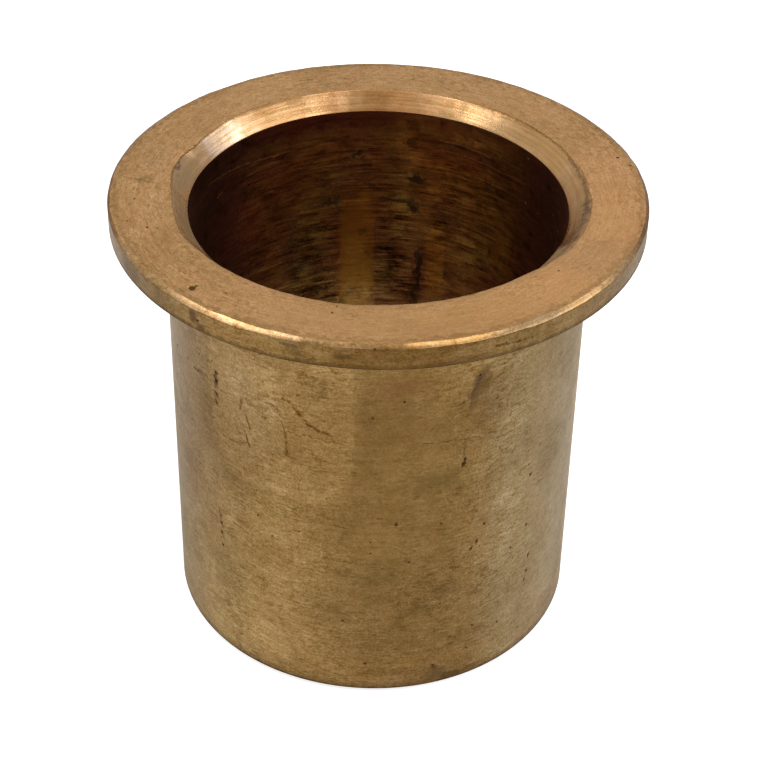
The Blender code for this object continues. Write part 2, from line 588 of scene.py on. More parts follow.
def turnedFinish(name, own):
    look = {**bronze, **own}
    finish = bpy.data.materials.new(name)
    finish.use_nodes = True
    tree = finish.node_tree
    shader = tree.nodes["Principled BSDF"]

    place = scaled(tree, add(tree, "TexCoord").outputs["Object"], 1000.0)
    x, y, z = add(tree, "SeparateXYZ", {0: place}).outputs
    reach = calc(tree, "ADD", calc(tree, "POWER", x, 2.0), calc(tree, "POWER", y, 2.0))
    reach = calc(tree, "SQRT", reach)
    across = z if look["lie"] == "wall" else reach
    away = times(tree, y, -1.0 if look["zero"] == "front" else 1.0)
    around = times(tree, calc(tree, "ARCTAN2", x, away), look["radius"])
    unrolled = add(tree, "CombineXYZ", {0: around, 1: across, 2: 0.0}).outputs[0]
    wobble = cloud(tree, place, look["wobbleSize"], 3.0, out="Color")
    wobble = vector(tree, "SUBTRACT", wobble, (0.5, 0.5, 0.5))

    def drawn(stretch):
        return drawnOut(tree, (x, y), across, look[stretch])

    def shakenBy(ground, amount):
        return vector(tree, "ADD", ground, scaled(tree, wobble, amount))

    def spot(ground, angle, height, wide, tall, soft, amount):
        return times(tree, spotMask(tree, ground, look, angle, height, wide, tall, soft), amount)

    tarnished = ramp(tree, cloud(tree, place, look["tarnishSize"], 4.0), *look["tarnishReach"])
    shaded = ramp(tree, cloud(tree, place, look["shadeSize"], 5.0, 0.65), *look["shadeReach"])
    blotch = speckle(tree, drawn("blotchStretch"), look["blotchSize"], 4.0)
    flecks = speckle(tree, drawn("fleckStretch"), look["fleckSize"], 3.0, 0.65)
    thick = cloud(tree, place, look["patchSize"], 4.0)
    thick = ramp(tree, thick, *look["patchReach"], look["patchLeast"], 1.0)
    grain = speckle(tree, place, look["grainSize"])
    hairs = cloud(tree, shakenBy(drawn("hairStretch"), look["hairWobble"]), look["hairSize"], 1.0)
    hairs = [thread(tree, hairs, level, look["hairWidth"]) for level in look["hairLevels"]]
    hair = calc(tree, "SUBTRACT", *hairs)
    cracks = cloud(tree, shakenBy(place, look["crackWobble"]), look["crackSize"], 1.0)
    crack = thread(tree, cracks, 0.5, look["crackWidth"])
    cracked = ramp(tree, cloud(tree, place, look["crackPatchSize"]), *look["crackPatch"])
    crack = times(tree, crack, cracked)
    glints = ramp(tree, cloud(tree, drawn("glintStretch"), look["glintSize"], 1.0), *look["glintReach"])
    lines = speckle(tree, drawn("lineStretch"), look["lineSize"])
    nicks = ramp(tree, cloud(tree, drawn("nickStretch"), look["nickSize"], 1.0), *look["nickReach"])
    cells = add(tree, "TexVoronoi", {"Vector": place, "Scale": 1 / look["pitGap"]})
    luck = calc(tree, "POWER", add(tree, "SeparateColor", {0: cells.outputs["Color"]}).outputs[0], 2.0)
    pitRadius = times(tree, luck, look["pitSize"] / look["pitGap"])
    pitted = ramp(tree, calc(tree, "DIVIDE", cells.outputs["Distance"], pitRadius), 1.0, 0.5)
    pitted = times(tree, pitted, ramp(tree, luck, *look["pitChance"]))

    pecked = 0.0
    if look["pecks"]:
        slant = math.radians(look["peckSlant"])
        along = (math.cos(slant), math.sin(slant), 0)
        beside = (-math.sin(slant), math.cos(slant), 0)
        rise, side = [vector(tree, "DOT_PRODUCT", unrolled, way, out="Value") for way in (along, beside)]
        rise = calc(tree, "DIVIDE", rise, look["peckStretch"])
        slanted = add(tree, "CombineXYZ", {0: rise, 1: side}).outputs[0]
        pecked = ramp(tree, cloud(tree, slanted, look["peckSize"], 1.0), *look["peckReach"])
        pecked = times(tree, pecked, spot(unrolled, *look["pecks"]))

    colour = mixed(tree, tarnished, look["colour"], look["tarnish"])
    colour = mixed(tree, times(tree, shaded, look["shadeAmount"]), colour, look["shade"])
    tone = times(tree, blotch, look["blotchTone"])
    for layer, strength in (
        (flecks, times(tree, thick, look["fleckTone"])),
        (lines, look["lineTone"]),
        (grain, look["grainTone"]),
        (glints, look["glintTone"]),
        (hair, times(tree, thick, look["hairTone"])),
        (crack, -look["crackTone"]),
    ):
        tone = calc(tree, "ADD", tone, times(tree, layer, strength))
    for calm in look["calms"]:
        tone = times(tree, tone, calc(tree, "SUBTRACT", 1.0, spot(unrolled, *calm)))
    tone = calc(tree, "MAXIMUM", calc(tree, "ADD", tone, 1.0), look["toneLeast"])
    colour = vector(tree, "MULTIPLY", colour, vector(tree, "POWER", tone, look["richness"]))
    hue = vector(tree, "SUBTRACT", cloud(tree, place, look["hueSize"], 4.0, out="Color"), (0.5, 0.5, 0.5))
    hue = vector(tree, "ADD", scaled(tree, hue, look["hueShift"]), (1.0, 1.0, 1.0))
    colour = vector(tree, "MULTIPLY", colour, hue)

    ragged = shakenBy(unrolled, look["raggedness"])
    # a tint multiplies the colour; many tints are painted highlights, painted reflections and painted
    # shade
    for *tint, markColour in look["tints"]:
        colour = mixed(tree, spot(ragged, *tint), colour, vector(tree, "MULTIPLY", colour, markColour))
    soiled = 0.0
    for *mark, markColour in look["stains"]:
        mask = spot(ragged, *mark)
        colour = mixed(tree, mask, colour, markColour)
        soiled = calc(tree, "MAXIMUM", soiled, mask)
    marks = calc(tree, "MAXIMUM", times(tree, nicks, look["nickAmount"]), pecked)
    shaken = shakenBy(unrolled, look["markWobble"])
    if look["scratches"]:
        scratched = [scratchMask(tree, shaken, look, *scratch) for scratch in look["scratches"]]
        scratched = most(tree, scratched)
        broken = cloud(tree, place, look["scratchGapSize"])
        broken = ramp(tree, broken, *look["scratchGaps"], look["scratchFaint"], 1.0)
        marks = calc(tree, "MAXIMUM", marks, times(tree, scratched, broken))
    colour = mixed(tree, marks, colour, vector(tree, "MULTIPLY", colour, look["markTint"]))
    for start, end, width, amount, markColour in look["strokes"]:
        mask = times(tree, scratchMask(tree, shaken, look, start, end, width), amount)
        colour = mixed(tree, mask, colour, markColour)
        soiled = calc(tree, "MAXIMUM", soiled, mask)
    if look["shines"]:
        shone = [scratchMask(tree, shaken, look, *shine) for shine in look["shines"]]
        shone = times(tree, most(tree, shone), look["shineAmount"])
        colour = mixed(tree, shone, colour, look["shineColour"])

    dirt = add(tree, "Attribute", attribute_name="dirt").outputs["Fac"]
    dirt = calc(tree, "ADD", dirt, times(tree, grain, look["dirtGrain"]))
    covered = calc(tree, "MAXIMUM", pitted, ramp(tree, dirt, *look["dirtReach"]))
    edgeWay = add(tree, "Attribute", attribute_name="edgeWay").outputs["Fac"]
    edgeSoil = add(tree, "Attribute", attribute_name="edgeSoil").outputs["Fac"]
    edgeWay = calc(tree, "ADD", edgeWay, times(tree, grain, look["edgeGrain"]))
    line = ramp(tree, calc(tree, "ABSOLUTE", edgeWay), *look["edgeReach"])
    line = times(tree, line, edgeSoil)
    colour = mixed(tree, times(tree, line, look["soilAmount"]), colour, look["soilColour"])
    colour = mixed(tree, times(tree, covered, look["pitAmount"]), colour, look["pitColour"])
    covered = calc(tree, "MAXIMUM", covered, times(tree, line, look["stainDullness"]))

    roughness = times(tree, tarnished, look["tarnishRoughness"])
    roughness = calc(tree, "ADD", roughness, look["roughness"])
    roughness = calc(tree, "ADD", roughness, times(tree, covered, look["dirtRoughness"]))
    dull = calc(tree, "MAXIMUM", covered, times(tree, soiled, look["stainDullness"]))
    metal = calc(tree, "SUBTRACT", 1.0, dull)
    height = times(tree, flecks, look["fleckHeight"])
    for layer, rise in (
        (lines, look["lineHeight"]),
        (grain, look["grainHeight"]),
        (pitted, -look["pitHeight"]),
        (pecked, -look["peckHeight"]),
    ):
        height = calc(tree, "ADD", height, times(tree, layer, rise))
    bump = add(tree, "Bump", {"Height": height, "Distance": 0.001, "Strength": 1.0})

    tree.links.new(colour, shader.inputs["Base Color"])
    tree.links.new(roughness, shader.inputs["Roughness"])
    tree.links.new(bump.outputs["Normal"], shader.inputs["Normal"])
    tree.links.new(metal, shader.inputs["Metallic"])
    shader.inputs["Specular IOR Level"].default_value = 0.0
    shader.inputs["Anisotropic"].default_value = look["anisotropy"]
    shader.inputs["Anisotropic Rotation"].default_value = look["anisotropyTurn"]
    return finish


# Tints and stains are (angle, height or radius, half width, half height, softness, amount, colour), in
# degrees and mm. A tint multiplies the colour under it and a stain covers it; most tints on the sleeve,
# lead-in, bore and rim paint light in, as painted highlights, painted reflections and painted shade. A
# calm
# has no colour: it takes the grain down, or up where its amount is below zero. A stroke is (start, end,
# width, amount, colour), and a scratch or a shine is (start, end, width).
brown, umber, olive = (0.10, 0.050, 0.020), (0.11, 0.060, 0.020), (0.15, 0.092, 0.022)
purple, plum, red = (0.14, 0.080, 0.050), (0.075, 0.036, 0.026), (0.26, 0.12, 0.040)
dusk, pale = (0.128, 0.073, 0.036), (0.40, 0.26, 0.135)
black, darkBrown = (0.035, 0.018, 0.010), (0.075, 0.030, 0.012)

sleeve = {
    "hairTone": 0.18,
    "pecks": (44, 26.0, 10.0, 26.0, 0.5, 0.75),
    "calms": [
        (6, 30, 8.5, 24, 0.7, 0.35),
        (58, 22, 9, 40, 0.7, 0.35),
        (15, 14.5, 6, 5, 0.8, -0.45),
    ],
    # These tints paint light and shade: a paler band on the left front where light falls, paler, bluer
    # sides where the wall turns away as a painted reflection, a lighter band near the bottom, painted
    # shade just under the flange at about -60 and 52 degrees, and smaller lighter and darker patches of
    # painted light
    "tints": [
        (-27, 38, 9.2, 12, 0.12, 0.8, (1.42, 1.48, 1.66)),
        (-34, 37, 5, 10, 0.8, 0.8, (1.16, 1.24, 1.5)),
        (-35, 14, 10.5, 16, 0.7, 1, (1.46, 1.54, 1.68)),
        (50, 20, 10, 40, 0.6, 0.8, (1.22, 1.46, 2.05)),
        (52, 12, 8, 12, 0.7, 0.6, (1.3, 1.38, 1.55)),
        (90, 22, 12, 40, 0.9, 1, (1.48, 1.78, 2.35)),
        (-90, 22, 11, 40, 0.9, 0.9, (1.25, 1.45, 1.7)),
        (-56, 5, 12, 16, 0.8, 0.7, (1.45, 1.62, 1.75)),
        (0, 2.5, 60, 5.5, 0.8, 0.8, (1.22, 1.22, 1.25)),
        (-30, 23.5, 3.8, 5.2, 0.8, 0.8, (1.25, 1.32, 1.42)),
        (-30, 7, 4, 7, 0.8, 0.9, (1.22, 1.25, 1.35)),
        (-30, 40.5, 2.5, 3, 0.8, 0.8, (1.2, 1.22, 1.24)),
        (38, 20.5, 8, 9, 0.8, 0.9, (1.28, 1.32, 1.46)),
        (-60, 17, 5, 14, 0.8, 0.8, (1.17, 1.17, 1.12)),
        (-15, 30.5, 2.6, 3, 0.8, 0.7, (0.8, 0.78, 0.66)),
        (4, 38.5, 3.1, 5.5, 0.2, 0.8, (0.95, 0.92, 0.93)),
        (-15, 8, 4, 4, 0.8, 0.8, (1.18, 1.2, 1.25)),
        (0, 10, 3, 3, 0.8, 0.7, (1.14, 1.17, 1.28)),
        (-45, 11.5, 3.8, 4.2, 0.8, 0.9, (0.8, 0.78, 0.77)),
        (-60, 45.3, 5.5, 2.4, 0.6, 0.9, (0.7, 0.69, 0.66)),
        (52, 45.5, 7, 2.2, 0.6, 0.8, (0.84, 0.8, 0.78)),
        (15, 2, 8, 2.2, 0.8, 0.8, (0.84, 0.84, 0.9)),
        (17, 14, 4.5, 3, 0.8, 0.8, (0.9, 0.88, 0.9)),
        (20, 44.8, 6, 2, 0.8, 0.7, (1.12, 1.12, 1.18)),
    ],
    "stains": [
        (28.6, 40.6, 1.7, 2, 0.7, 0.42, umber),
        (31, 38.5, 2.4, 3, 0.8, 0.22, purple),
        (29.5, 41.6, 0.8, 1.2, 0.8, 0.45, olive),
        (8, 42.4, 4.2, 1.8, 0.9, 0.52, red),
        (18, 29.6, 4.2, 2.6, 0.8, 0.5, olive),
        (2, 18, 3.4, 2.6, 0.9, 0.36, olive),
        (48, 0.9, 7, 0.7, 0.7, 0.4, red),
        (19.3, 2, 1.4, 1.4, 0.7, 0.52, dusk),
        (18, 3.1, 0.5, 0.5, 0.7, 0.6, darkBrown),
        (23.5, 1, 1.8, 0.7, 0.6, 0.7, umber),
        (30, 1.6, 1.6, 0.5, 0.7, 0.65, umber),
        (20.5, 14.2, 2.4, 1.2, 0.9, 0.35, umber),
        (13, 12, 3.2, 1.6, 0.9, 0.28, umber),
        (27, 6, 2.6, 1.6, 0.9, 0.25, olive),
        (24.3, 33, 0.35, 1.5, 0.7, 0.5, plum),
        (-46.8, 38, 0.26, 1.3, 0.5, 0.75, brown),
        (-46.8, 36, 0.5, 3.4, 0.9, 0.3, purple),
        (-12.7, 40.8, 1.2, 0.8, 0.8, 0.35, umber),
    ],
    "strokes": [
        ((-47.4, 38), (-46.2, 37.3), 0.2, 0.8, darkBrown),
        ((-47.3, 36.3), (-46.2, 35.6), 0.17, 0.75, darkBrown),
        ((-47.2, 35), (-46.5, 34.5), 0.13, 0.6, darkBrown),
        ((-47.6, 19.8), (-46.9, 19.2), 0.16, 0.55, darkBrown),
        ((-57, 36.9), (-54.4, 37.1), 0.2, 0.6, darkBrown),
        ((24, 31), (24.6, 31.9), 0.24, 0.8, darkBrown),
        ((27.6, 19), (28.1, 19.4), 0.22, 0.9, darkBrown),
        ((29.2, 19.8), (29.7, 20.2), 0.2, 0.9, darkBrown),
        ((31.1, 21.9), (32.1, 22.4), 0.14, 0.7, darkBrown),
        ((47.2, 25.3), (48.6, 25.8), 0.16, 0.75, darkBrown),
        ((49.4, 13.3), (50.3, 14.1), 0.16, 0.7, darkBrown),
        ((49.1, 11.2), (49.7, 11.9), 0.13, 0.6, darkBrown),
        ((48.4, 10), (49.3, 10.6), 0.14, 0.6, darkBrown),
        ((8.4, 19.3), (11, 18.9), 0.2, 0.45, darkBrown),
        ((6, 24.1), (6.5, 25), 0.14, 0.5, darkBrown),
        ((44, 27.8), (45.4, 28.3), 0.12, 0.45, darkBrown),
        ((35, 33.6), (36.6, 34.6), 0.14, 0.4, darkBrown),
        ((36.6, 37.5), (38, 38.9), 0.16, 0.4, darkBrown),
        ((39.5, 30.2), (41, 31.2), 0.14, 0.4, darkBrown),
        ((29.8, 43), (27.2, 41.9), 0.55, 0.5, dusk),
        ((27.8, 42), (26.2, 40), 0.95, 0.66, dusk),
        ((26.2, 40.4), (25.4, 38), 0.6, 0.34, dusk),
        ((30.2, 42.6), (27.6, 41.8), 0.2, 0.55, brown),
        ((27.6, 41.8), (25.7, 40.5), 0.26, 0.62, brown),
        ((25.7, 40.5), (25.2, 38.6), 0.22, 0.5, brown),
        # the next two strokes make the sleeve darker in a band all round its bottom edge
        ((-180, 0.8), (180, 0.8), 0.9, 0.35, umber),
        ((-180, 0.6), (180, 0.6), 0.36, 0.9, darkBrown),
        ((-19.8, 42.5), (-14.5, 42.9), 0.22, 0.5, umber),
        ((-19, 41.8), (-13, 42.2), 0.16, 0.45, umber),
    ],
    "scratches": [
        ((-57, 36.9), (-53, 37.2), 0.3),
        ((-53, 37.2), (-49.8, 37.4), 0.18),
        ((-47.4, 36.2), (-46.2, 35.6), 0.24),
        ((-47.3, 35), (-46.4, 34.4), 0.2),
        ((-21.3, 38.6), (-17, 36.7), 0.28),
        ((-17, 36.7), (-10.8, 35.8), 0.3),
        ((-23.7, 35.1), (-23.2, 32.1), 0.26),
        ((-23.2, 32.1), (-21.9, 32), 0.22),
        ((-35.9, 35.4), (-34.5, 33.9), 0.26),
        ((-36.9, 37.6), (-37.7, 35.7), 0.26),
        ((-36.4, 33.2), (-34.8, 31.4), 0.2),
        ((-26.2, 38.1), (-23.6, 35.2), 0.14),
        ((-24.2, 39.2), (-22.4, 39.1), 0.3),
        ((-20.2, 28.8), (-19.6, 27.4), 0.14),
        ((-26.8, 24.6), (-16.3, 24.6), 0.11),
        ((-12.5, 24.2), (-4.5, 23.7), 0.1),
        ((-47.7, 20), (-46.8, 19), 0.22),
        ((-47.2, 18.6), (-46.3, 17.8), 0.2),
        ((-47.1, 17.2), (-46.2, 16.5), 0.2),
        ((-46.9, 15.7), (-46.1, 14.9), 0.18),
        ((10, 35.1), (37, 34.1), 0.1),
    ],
}

flangeFace = {
    "lie": "face",
    "radius": 25.0,
    "colour": (0.445, 0.247, 0.096),
    "tarnish": (0.405, 0.226, 0.087),
    "shade": (0.27, 0.140, 0.045),
    "shadeAmount": 0.30,
    "blotchTone": 0.06,
    "fleckStretch": 1.8,
    "fleckSize": 0.40,
    "fleckTone": 0.15,
    "fleckHeight": 0.006,
    "grainTone": 0.12,
    "hairStretch": 1.5,
    "hairTone": 0.12,
    "crackTone": 0.18,
    "lineTone": 0.07,
    "lineHeight": 0.001,
    "nickStretch": 1.5,
    "nickReach": (0.74, 0.80),
    "roughness": 0.46,
    "pitGap": 1.8,
    "pitSize": 0.18,
    "calms": [
        (40, 25, 40, 5, 0.8, 0.4),
    ],
    "tints": [
        (70, 25, 24, 5, 0.7, 0.9, (1.18, 1.13, 1.15)),
        (-64, 23.6, 3, 1.3, 0.8, 0.8, (0.9, 0.87, 0.8)),
        (-76, 26.4, 2.5, 1.2, 0.8, 0.8, (0.88, 0.84, 0.76)),
        (-98, 26.4, 3, 1.6, 0.8, 0.8, (0.93, 0.9, 0.84)),
        (-84, 24.4, 2.6, 1.3, 0.8, 0.8, (1.07, 1.08, 1.1)),
        (60, 25.2, 5.5, 4, 0.8, 0.8, (0.82, 0.87, 0.9)),
        (20, 25, 7, 4, 0.8, 0.8, (1.1, 1.07, 1.05)),
        (-58, 25.6, 5, 3, 0.8, 0.7, (0.86, 0.87, 0.82)),
        (-102, 24.5, 4.5, 2.6, 0.8, 0.7, (0.88, 0.9, 0.92)),
        (-150, 24.8, 6, 2.5, 0.8, 0.7, (1.09, 1.1, 1.1)),
        (0, 27.5, 400, 0.6, 0.8, 0.9, (0.77, 0.76, 0.71)),
    ],
    "stains": [
        (-92, 24.6, 0.7, 2, 0.8, 0.38, olive),
        (-93, 24.9, 0.9, 0.7, 0.8, 0.38, olive),
        (-88, 22.9, 0.8, 0.5, 0.8, 0.35, olive),
    ],
    "strokes": [
        ((104, 21.9), (94, 22.15), 0.16, 0.6, brown),
        ((-93.6, 27.3), (-92.4, 25.2), 0.16, 0.5, olive),
        ((-92.4, 25.2), (-90.2, 22.6), 0.18, 0.5, olive),
        ((-92.4, 25.2), (-95.4, 23.4), 0.12, 0.35, olive),
        ((-68, 26.9), (-50, 26.8), 0.12, 0.35, brown),
        ((-72, 26.2), (-58, 26.1), 0.1, 0.3, brown),
        ((57.2, 25), (55.2, 24.5), 0.14, 0.5, umber),
        ((54.6, 24.4), (52.8, 24), 0.12, 0.4, umber),
    ],
}

leadIn = {
    "radius": 20.9,
    "zero": "back",
    "colour": (0.50, 0.300, 0.142),
    "tarnish": (0.47, 0.272, 0.116),
    "shadeAmount": 0.2,
    "blotchTone": 0.05,
    "fleckStretch": 12.0,
    "fleckSize": 0.20,
    "fleckTone": 0.12,
    "fleckHeight": 0.002,
    "grainTone": 0.06,
    "grainHeight": 0.0012,
    "hairTone": 0.05,
    "crackTone": 0.08,
    "lineStretch": 40.0,
    "lineSize": 0.22,
    "lineTone": 0.15,
    "lineHeight": 0.0028,
    "nickAmount": 0.3,
    "roughness": 0.23,
    "tarnishRoughness": 0.04,
    "anisotropy": 0.3,
    "pitSize": 0.12,
    # Most of these tints paint the lead-in's light: brighter where the lamps' gleam falls, at about -56,
    # -17, -9.5, 11, 23 and 122 degrees from the back, and darker between them as painted shade
    "tints": [
        (-2, 50.5, 9, 2.2, 0.6, 0.9, (1.08, 0.9, 0.68)),
        (-9.5, 50.3, 1.9, 2.4, 0.6, 0.9, (1.2, 1.28, 1.45)),
        (-45, 50.5, 2.6, 2.4, 0.7, 0.8, (0.84, 0.85, 0.94)),
        (-56, 50.5, 3.8, 2.4, 0.5, 1, (1.45, 1.7, 2.4)),
        (-33, 50.5, 4.4, 2.4, 0.5, 0.8, (0.74, 0.68, 0.6)),
        (-17, 50.4, 3, 2.4, 0.4, 1, (1.5, 1.55, 1.75)),
        (11, 50.5, 4, 2.4, 0.6, 0.9, (1.35, 1.36, 1.5)),
        (23, 50.5, 4.5, 2.4, 0.6, 1, (1.45, 1.42, 1.32)),
        (62, 50.5, 7, 2.4, 0.6, 0.9, (0.93, 0.92, 0.86)),
        (92, 50.5, 8, 2.4, 0.6, 0.9, (0.84, 0.78, 0.68)),
        (122, 50.2, 5, 2.4, 0.6, 1, (1.5, 1.55, 1.55)),
        (98, 50.5, 5, 2.4, 0.6, 0.8, (0.84, 0.83, 0.72)),
        (21.8, 51, 1.8, 1.4, 0.7, 0.9, (1.3, 1.22, 1.16)),
        (-88, 50.5, 2.6, 2.4, 0.7, 0.8, (0.8, 0.78, 0.68)),
        (-77, 50.5, 3.6, 2.4, 0.6, 1, (0.64, 0.65, 0.66)),
        (-66, 50.5, 2.6, 2.4, 0.8, 0.8, (0.88, 0.92, 1.1)),
        (-98, 50.5, 5, 2.4, 0.7, 0.9, (0.98, 1.06, 1.05)),
        (104, 51.15, 7.5, 0.5, 0.5, 0.9, (0.97, 0.92, 0.88)),
    ],
    "calms": [
        (-100, 50.5, 16, 2.4, 0.5, 0.6),
        (75, 50.3, 12, 2.4, 0.5, 0.5),
    ],
    "stains": [
        (-106, 50.5, 7.4, 2.4, 0.5, 0.6, pale),
        (122, 50.5, 3.8, 2.4, 0.5, 0.7, pale),
        (96.5, 51.1, 2, 0.4, 0.8, 0.8, dusk),
        (104, 50.95, 1.6, 0.35, 0.8, 0.65, dusk),
        (111, 51.05, 1.2, 0.28, 0.9, 0.5, dusk),
        (116, 51, 0.5, 0.25, 0.8, 0.45, dusk),
        (-78, 51.25, 1, 0.2, 0.6, 0.75, plum),
        (-115, 51.2, 3, 0.2, 0.7, 0.4, umber),
    ],
    "strokes": [
        ((132, 50.9), (118, 50.75), 0.2, 0.4, dusk),
        ((118, 50.75), (106, 50.7), 0.22, 0.4, dusk),
        ((106, 50.7), (94, 50.95), 0.26, 0.45, dusk),
        ((94, 51.05), (84, 51.25), 0.26, 0.6, dusk),
        ((84, 51.25), (70, 51.35), 0.24, 0.65, dusk),
    ],
}

bore = {
    "radius": 20.0,
    "zero": "back",
    "colour": (0.356, 0.176, 0.052),
    "tarnish": (0.264, 0.103, 0.031),
    "tarnishSize": 6.0,
    "shade": (0.06, 0.028, 0.011),
    "shadeSize": 2.4,
    "shadeReach": (0.54, 0.68),
    "shadeAmount": 0.6,
    "blotchSize": 0.9,
    "blotchStretch": 3.0,
    "blotchTone": 0.30,
    "richness": (1.0, 1.25, 1.3),
    "fleckStretch": 8.0,
    "fleckSize": 0.34,
    "fleckTone": 0.28,
    "grainTone": 0.14,
    "lineStretch": 22.0,
    "lineSize": 0.32,
    "lineTone": 0.18,
    "glintReach": (0.65, 0.73),
    "glintTone": 0.7,
    "hairTone": 0.10,
    "crackTone": 0.15,
    "calms": [
        (-82, 35, 13, 40, 0.5, 0.6),
        (80, 35, 12, 40, 0.5, 0.6),
        (0, 49.2, 40, 2.4, 0.5, 0.7),
        (-7.3, 28, 2.6, 11, 0.4, 0.8),
        (-22, 30, 4.5, 11, 0.7, -0.8),
        (5, 31, 3, 12, 0.7, -0.8),
        (28, 36, 6, 10, 0.8, -0.4),
    ],
    "nickStretch": 8.0,
    "roughness": 0.34,
    "anisotropy": 0.3,
    # Most of these tints paint light in the bore: the gold reflection band down the far wall at about -7
    # degrees with its bright lower end, further reflection bands at about 20, 32 and 43, lighter patches
    # toward the top right, darker, greyer walls at the sides near -80 and 82, and a darker band at the
    # top
    "tints": [
        (-24, 30, 3.8, 9, 0.6, 0.9, (0.72, 0.86, 0.76)),
        (-22, 38, 5, 6, 0.8, 0.6, (1, 1.1, 0.96)),
        (-20, 30, 1.7, 1.7, 0.8, 0.8, (1.28, 1.32, 1.4)),
        (-12, 41, 3.5, 3, 0.8, 0.8, (1.18, 1.36, 1.45)),
        (-33, 41.5, 3, 4, 0.8, 0.8, (1.1, 0.86, 1)),
        (-50, 45, 5, 3, 0.8, 0.8, (1.25, 1.15, 1.25)),
        (-75, 48.5, 3.5, 2.2, 0.8, 0.8, (0.6, 0.6, 0.7)),
        (12, 36, 3.5, 3, 0.8, 0.8, (1.4, 1.45, 1.25)),
        (2, 23.5, 3, 2.4, 0.8, 0.9, (1.6, 1.95, 2.3)),
        (31, 40, 6, 5, 0.8, 0.8, (1.1, 1.32, 1.4)),
        (40, 48, 5, 1.6, 0.8, 0.8, (1.35, 1.45, 1.5)),
        (-7.3, 29, 2.5, 12, 0.35, 1, (1.45, 1.52, 0.8)),
        (-7.3, 23, 2.8, 4.5, 0.8, 1, (1.5, 1.75, 3.2)),
        (3, 29, 2.2, 8, 0.6, 0.8, (0.75, 0.82, 0.8)),
        (6.5, 40, 2.6, 9, 0.7, 0.7, (1.05, 1.25, 1.1)),
        (20, 30, 1.5, 6.5, 0.5, 1, (1.65, 1.75, 1)),
        (10, 45, 2, 5.5, 0.7, 0.9, (1.55, 1.6, 1.35)),
        (30, 47.2, 2.4, 0.9, 0.6, 0.8, (1.7, 2, 1.6)),
        (32, 33, 3.2, 9, 0.8, 0.9, (1.5, 1.75, 1.3)),
        (43, 36.5, 3.6, 7, 0.8, 0.9, (1.5, 1.85, 1.3)),
        (27, 41.5, 6, 5, 0.7, 0.9, (1.58, 1.38, 1.08)),
        (-52, 39, 5.5, 5.5, 0.8, 0.9, (1.65, 1.35, 1.25)),
        (0, 44.5, 22, 2.6, 0.8, 0.8, (1.3, 1.2, 1.2)),
        (4, 38, 6, 4, 0.8, 0.7, (1.22, 1.26, 1.2)),
        (0, 30, 5, 2.2, 0.8, 0.8, (0.74, 0.64, 0.7)),
        (-31.5, 30.5, 1.8, 2.2, 0.9, 0.8, (0.62, 0.56, 0.68)),
        (30, 48, 9, 1.5, 0.7, 0.9, (1.7, 1.8, 1.5)),
        (-24, 49, 14, 1.9, 0.7, 0.9, (0.66, 0.5, 0.75)),
        (-80, 35, 15, 40, 0.5, 0.95, (0.58, 0.56, 1.3)),
        (82, 35, 12, 40, 0.5, 0.95, (0.78, 0.74, 1.7)),
        (0, 49.2, 40, 1.8, 0.6, 0.6, (0.8, 0.56, 0.7)),
        (-20, 44.5, 10, 5, 0.8, 0.5, (0.9, 0.8, 0.8)),
    ],
    # The tall black marks at about 4, 12 and 14 degrees are dark bands down the far wall, partly painted
    # reflection of dark surroundings and partly stain; the short ones are dark streaks along the turning
    "stains": [
        (14, 28.5, 0.6, 5, 0.7, 0.9, black),
        (12.3, 25, 0.9, 2.8, 0.8, 0.8, black),
        (-7.3, 44, 1.3, 0.6, 0.7, 0.95, black),
        (4.9, 43.5, 1.2, 0.4, 0.8, 0.75, black),
        (9.5, 43.3, 0.8, 0.5, 0.8, 0.6, black),
        (12.2, 41, 1.9, 0.7, 0.7, 0.95, black),
        (6, 41.6, 2.2, 0.25, 0.8, 0.55, black),
        (11.5, 37.2, 1.4, 1.3, 0.8, 0.95, black),
        (5, 38, 3.2, 0.5, 0.8, 0.75, black),
        (-16.4, 37.8, 2.4, 0.7, 0.8, 0.85, black),
        (-12.5, 36.4, 1, 0.6, 0.8, 0.5, black),
        (4.4, 28.5, 0.6, 4.5, 0.9, 0.5, black),
        (-19, 31.5, 1.6, 0.6, 0.8, 0.45, black),
        (-21, 28.8, 2.2, 0.6, 0.8, 0.55, black),
        (-19.5, 26, 2, 0.7, 0.8, 0.8, black),
        (-28, 29.5, 1.5, 0.6, 0.8, 0.65, black),
        (-30, 33.5, 1.4, 0.5, 0.8, 0.6, black),
        (27, 29, 1.3, 0.7, 0.8, 0.6, black),
    ],
    "shines": [
        ((-69.1, 47), (-52, 46.4), 0.13),
        ((-52, 46.4), (-34.9, 45.6), 0.15),
        ((20.1, 46.7), (39.4, 46.4), 0.13),
        ((22, 45.5), (42.9, 45.1), 0.11),
        ((-63, 44.4), (-60, 44.6), 0.14),
    ],
    "shineColour": (0.90, 0.48, 0.18),
}

